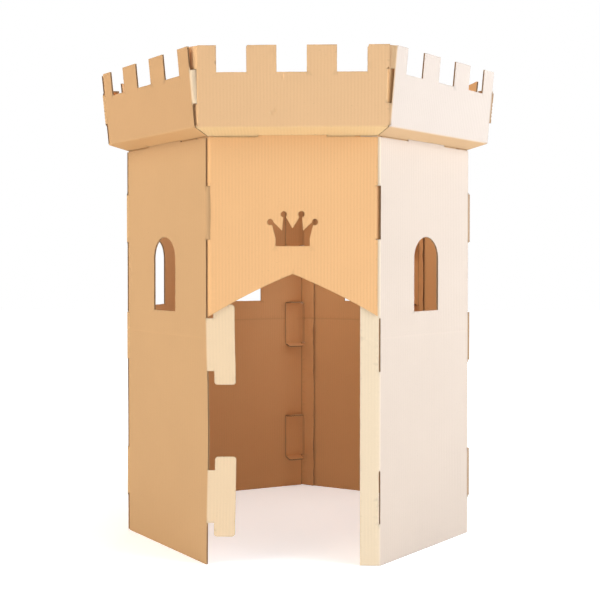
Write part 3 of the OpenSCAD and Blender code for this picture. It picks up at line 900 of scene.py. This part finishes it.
def cut_flutes():
    """The cut edge of corrugated board. Across the flutes the middle layer is a wave between the liners,
    and along them it is one line. Colour: pale at the liners and on the wave, and in the open flute
    hollows a dark colour that is painted shade."""
    tree, given, out = new_group(
        "cut_flutes",
        [("Liner", "NodeSocketColor", (0.5, 0.34, 0.2, 1)),
         ("Hollow Shade", "NodeSocketColor", (0.12, 0.07, 0.035, 1))],
        [("Color", "NodeSocketColor"), ("Height", "NodeSocketFloat")],
    )
    flat = put(tree, "ShaderNodeUVMap", uv_map="flat").outputs[0]
    deep = shade_of(tree, "deep")
    middle = maths(tree, "ADD", maths(tree, "MULTIPLY", flute_wave(tree, flat), 0.34), 0.5)
    off_wave = maths(tree, "ABSOLUTE", maths(tree, "SUBTRACT", deep, middle))
    off_face = maths(tree, "MINIMUM", deep, maths(tree, "SUBTRACT", 1.0, deep))
    on_wave = spread(tree, off_wave, 0.06, 0.16, 1.0, 0.0)
    on_face = spread(tree, off_face, 0.09, 0.15, 1.0, 0.0)
    rough = spread(tree, noise(tree, flat, 500, 3), 0.3, 0.7, 0.65, 1.0)
    paper = maths(tree, "MULTIPLY", maths(tree, "MAXIMUM", on_wave, on_face), rough)
    colour = blend(tree, paper, given.outputs["Hollow Shade"], given.outputs["Liner"])
    tree.links.new(colour, out.inputs["Color"])
    tree.links.new(paper, out.inputs["Height"])
    return tree


def new_finish(name, specular):
    """A material with a weak shine. Gives the material, its nodes and its shader."""
    material = bpy.data.materials.new(name)
    material.use_nodes = True
    shader = material.node_tree.nodes["Principled BSDF"]
    shader.inputs["Specular IOR Level"].default_value = specular
    return material, material.node_tree, shader


def add_bump(tree, shader, height, strength, distance):
    """Bends a shader's normal by a height."""
    links = [("Strength", strength), ("Distance", distance), ("Height", height)]
    bump = put(tree, "ShaderNodeBump", links)
    tree.links.new(bump.outputs["Normal"], shader.inputs["Normal"])


def board_finish(name, lit_tints, flute_shadow):
    """Matte board faces: one tint of kraft outside, others past the folds and on the tabs, a browner one
    inside; the outer ones carry painted light and shade.
    """
    material, tree, shader = new_finish(name, 0.22)
    paper = put(tree, "ShaderNodeGroup", node_tree=liner_group)
    outer, turned, tab = lit_tints
    paper.inputs["Outer Liner"].default_value = (*outer, 1)
    paper.inputs["Turned Lit Liner"].default_value = (*turned, 1)
    paper.inputs["Tab Lit Liner"].default_value = (*tab, 1)
    paper.inputs["Inner Liner"].default_value = (*INNER, 1)
    paper.inputs["Flute Shadow"].default_value = flute_shadow
    paper.inputs["Cloud"].default_value = CLOUD
    tree.links.new(paper.outputs["Color"], shader.inputs["Base Color"])
    tree.links.new(paper.outputs["Roughness"], shader.inputs["Roughness"])
    add_bump(tree, shader, paper.outputs["Height"], 0.35, 0.0004)
    return material


def edge_finish(name, liner, hollow_shade):
    """Raw cut edge of the board, with painted shade in the flute hollows."""
    material, tree, shader = new_finish(name, 0.1)
    shader.inputs["Roughness"].default_value = 0.95
    cut = put(tree, "ShaderNodeGroup", node_tree=flute_group)
    cut.inputs["Liner"].default_value = (*liner, 1)
    cut.inputs["Hollow Shade"].default_value = (*hollow_shade, 1)
    tree.links.new(cut.outputs["Color"], shader.inputs["Base Color"])
    add_bump(tree, shader, cut.outputs["Height"], 0.6, 0.001)
    return material


# Pitch of the flutes, and the liners' colours
FLUTE = 7.63
CLOUD = 0.06
FLUTE_SHADOW = 0.02
DOOR_SHADOW = 0.03
INNER = (0.726, 0.414, 0.195)

# Outer liner of each sheet by side: flat, past its flange's or strip's fold, and on its tabs. The door
# wall's flat orange is its own; the rest is one kraft with light and shade painted in: paler as painted
# light on the right front sheets, the jamb, the left front tabs and the strips lit from below, darker as
# painted shade on the left front sheets and on tabs turned away from the lamps
WALL_LIT_TINTS = {
    0: ((0.798, 0.462, 0.215), (0.798, 0.462, 0.215), (0.52, 0.27, 0.115)),
    1: ((0.596, 0.485, 0.396), (0.80, 0.65, 0.465), (0.32, 0.19, 0.095)),
    6: ((0.576, 0.352, 0.177), (0.576, 0.352, 0.177), (0.807, 0.611, 0.399)),
}
BAND_LIT_TINTS = {
    0: ((0.742, 0.466, 0.248), (0.82, 0.58, 0.302), (0.55, 0.30, 0.13)),
    1: ((0.598, 0.499, 0.423), (0.70, 0.465, 0.26), (0.32, 0.19, 0.095)),
    6: ((0.566, 0.341, 0.172), (0.694, 0.415, 0.192), (0.80, 0.63, 0.44)),
}
PLAIN_LIT_TINTS = ((0.64, 0.40, 0.21), (0.70, 0.46, 0.25), (0.62, 0.39, 0.20))

liner_group = kraft_liner()
flute_group = cut_flutes()
# Cut edge: the liner's colour, then the painted shade of the open flute hollows
cut_edge = edge_finish("cut_edge", (0.64, 0.43, 0.25), (0.30, 0.18, 0.09))


# The sheets

WALLS = [
    "right_front_wall", "right_rear_wall", "rear_right_wall",
    "rear_left_wall", "left_rear_wall", "left_front_wall",
]
BANDS = [
    "front_battlement", "right_front_battlement", "right_rear_battlement", "rear_right_battlement",
    "rear_left_battlement", "left_rear_battlement", "left_front_battlement",
]


def bow_of(side):
    """A slight bow of a wall's flat middle, none at its folds, top and floor, and on the left front wall
    one of its right edge too, where no tab holds it."""
    size = BOW * math.sin(1.9 * side + 0.6)
    free = FREE_BOW if side == LEFT_FRONT else 0.0

    def bow(across, up):
        middle = hat(across, BOW_SPAN) ** 2 * np.sin(np.pi * np.clip(up, 0, 1))
        edge = np.clip((across - FREE_FROM) / (1 - FREE_FROM), 0, 1) ** 2
        return size * middle + free * edge * np.sin(np.pi * np.clip(up / FREE_UP, 0, 1)) ** 2

    return bow


def no_bow(across, up):
    """The door wall hangs straight."""
    return np.zeros_like(across)


def finish_piece(piece, node):
    """Ties a sheet to the solid that it stands for."""
    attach(piece, "root")
    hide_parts(node)


def make_door():
    """The front sheet, with no packing crease."""
    board = board_finish("door_wall_liner", WALL_LIT_TINTS[DOOR], DOOR_SHADOW)
    used = used_tabs(DOOR)

    def fold(u, v, deep):
        return fold_wall(u, v, deep, (used, used, used), no_bow, 0.0, FLANGE_LIFT[DOOR], WALL_BULGE[DOOR])

    piece = sheet("door_wall_board", DOOR, door_pattern(), fold, [], board, cut_edge, "door_board")
    finish_piece(piece, "door_wall")


def make_wall(side, node):
    """A window wall. On the left front one the free tabs take the tab tint, on the others all tabs; that
    tint is painted light or shade.
    """
    board = board_finish(node + "_liner", WALL_LIT_TINTS.get(side, PLAIN_LIT_TINTS), FLUTE_SHADOW)
    tabs = (used_tabs(side), WALL_TABS, [LOW_TAB, MID_TAB] if side == LEFT_FRONT else WALL_TABS)
    lift = FLANGE_LIFT.get(side, OTHER_LIFT)
    bulge = WALL_BULGE.get(side, OTHER_BULGE)

    def fold(u, v, deep):
        return fold_wall(u, v, deep, tabs, bow_of(side), 1.0, lift, bulge)

    piece = sheet(node + "_board", side, wall_pattern(side), fold, [], board, cut_edge, "wall_board")
    finish_piece(piece, node)


def make_band(side, node):
    """A battlement. The front one has handling marks; the right front one's flange takes the tint past a
    fold, without the pale painted light of its face.
    """
    board = board_finish(node + "_liner", BAND_LIT_TINTS.get(side, PLAIN_LIT_TINTS), FLUTE_SHADOW)
    marks = FRONT_MARKS if side == DOOR else []
    bulge = BAND_BULGE.get(side, OTHER_BULGE)
    # Only the right front flange drops its face's painted light for the tint past the fold
    flange_lit_tint = 1.0 if side == RIGHT_FRONT else 0.0

    def fold(u, v, deep):
        return fold_band(u, v, deep, marks, bulge, flange_lit_tint)

    slot = "battlement_board"
    piece = sheet(node + "_board", side, band_pattern(side), fold, marks, board, cut_edge, slot)
    finish_piece(piece, node)


make_door()
for number, label in enumerate(WALLS, 1):
    make_wall(number, label)
for number, label in enumerate(BANDS):
    make_band(number, label)


# Floor, light and camera, in metres

FLOOR_HALF = 12.0
FLOOR_WHITE = (0.88, 0.88, 0.88, 1)
WORLD_LIGHT = 0.12
COOL = (0.92, 1.0, 1.10)
SOFT_WARM = (1.0, 0.94, 0.84)
WARM_WHITE = (1.0, 0.96, 0.9)
WHITE = (1, 1, 1)

# Lamps: name, place, target, size, power in watts and colour
LAMPS = [
    ("key_right", (3.4, -0.9, 1.9), (0, 0, 0.7), 2.4, 117, COOL),
    ("high_right", (2.6, -1.4, 3.2), (0, 0, 0.7), 2.4, 11, COOL),
    ("fill_right", (2.6, -2.8, 1.5), (0, 0, 0.6), 2.4, 25, COOL),
    ("key_left", (-3.4, -1.2, 1.6), (0, 0, 0.6), 2.4, 54, SOFT_WARM),
    ("high_left", (-2.6, -1.4, 3.2), (0, 0, 0.7), 2.4, 59, SOFT_WARM),
    ("fill_above", (0.0, 0.1, 3.3), (0, 0, 0.5), 1.6, 27, WHITE),
    ("fill_low", (0.0, -2.6, 0.12), (0, -0.4, 1.1), 1.4, 22, WHITE),
    ("fill_back", (0.6, 3.4, 2.4), (0, 0, 0.6), 2.4, 45, WARM_WHITE),
]

# The photograph's camera, fitted to the tower's corners: lens in millimetres, angles in radians
CAMERA_PLACE = (0.0914, -2.7999, 0.7104)
CAMERA_DOWN = 0.0204
CAMERA_LEFT = 0.0314
CAMERA_LENS = 60.96
CAMERA_SENSOR = 36
CAMERA_SHIFT = -0.0287


def shown_ray(tree):
    """1 for a ray that shows the scene: straight from the camera, mirrored or through glass."""
    path = put(tree, "ShaderNodeLightPath").outputs
    direct = maths(tree, "MAXIMUM", path["Is Camera Ray"], path["Is Glossy Ray"])
    return maths(tree, "MAXIMUM", direct, path["Is Transmission Ray"])


def make_floor():
    """White studio floor: pale where it is lit, brighter away from the castle, and it keeps the shadow."""
    mesh = bpy.data.meshes.new("studio_floor")
    corners = [(x * FLOOR_HALF, y * FLOOR_HALF, 0) for x, y in ((-1, -1), (1, -1), (1, 1), (-1, 1))]
    mesh.from_pydata(corners, [], [(0, 1, 2, 3)])
    material = bpy.data.materials.new("studio_white")
    material.use_nodes = True
    tree = material.node_tree
    tree.nodes.remove(tree.nodes["Principled BSDF"])
    diffuse = put(tree, "ShaderNodeBsdfDiffuse", [("Color", FLOOR_WHITE)])
    place = put(tree, "ShaderNodeTexCoord").outputs["Object"]
    reach = put(tree, "ShaderNodeVectorMath", [(0, place)], operation="LENGTH").outputs["Value"]
    level = spread(tree, reach, 0.7, 1.6, 0.39, 1.0)
    glow = put(tree, "ShaderNodeEmission", [("Strength", maths(tree, "MULTIPLY", shown_ray(tree), level))])
    both = put(tree, "ShaderNodeAddShader", [(0, diffuse.outputs[0]), (1, glow.outputs[0])])
    tree.links.new(both.outputs[0], tree.nodes["Material Output"].inputs["Surface"])
    mesh.materials.append(material)
    floor = bpy.data.objects.new("studio_floor", mesh)
    bpy.context.scene.collection.objects.link(floor)


def make_world():
    """Soft light all round, and white where the camera looks past the floor."""
    world = bpy.data.worlds.new("studio_world")
    bpy.context.scene.world = world
    world.use_nodes = True
    tree = world.node_tree
    back = tree.nodes["Background"]
    back.inputs["Color"].default_value = (1, 1, 1, 1)
    tree.links.new(spread(tree, shown_ray(tree), 0, 1, WORLD_LIGHT, 1.0), back.inputs["Strength"])


def make_lamp(name, place, target, size, power, colour):
    """Square soft lamp that faces a target."""
    lamp = bpy.data.lights.new(name, "AREA")
    lamp.size = size
    lamp.energy = power
    lamp.color = colour
    body = bpy.data.objects.new(name, lamp)
    body.location = place
    body.rotation_euler = (Vector(target) - Vector(place)).to_track_quat("-Z", "Y").to_euler()
    bpy.context.scene.collection.objects.link(body)


def make_camera():
    """Camera at the photograph's place, level but for a slight tilt, with its lens shifted down."""
    data = bpy.data.cameras.new("photo_camera")
    data.sensor_width = CAMERA_SENSOR
    data.lens = CAMERA_LENS
    data.shift_y = CAMERA_SHIFT
    camera = bpy.data.objects.new("photo_camera", data)
    camera.location = CAMERA_PLACE
    camera.rotation_euler = (math.pi / 2 - CAMERA_DOWN, 0, CAMERA_LEFT)
    bpy.context.scene.collection.objects.link(camera)
    bpy.context.scene.camera = camera


make_floor()
make_world()
for lamp_row in LAMPS:
    make_lamp(*lamp_row)
make_camera()
bpy.context.scene.view_settings.view_transform = "Standard"
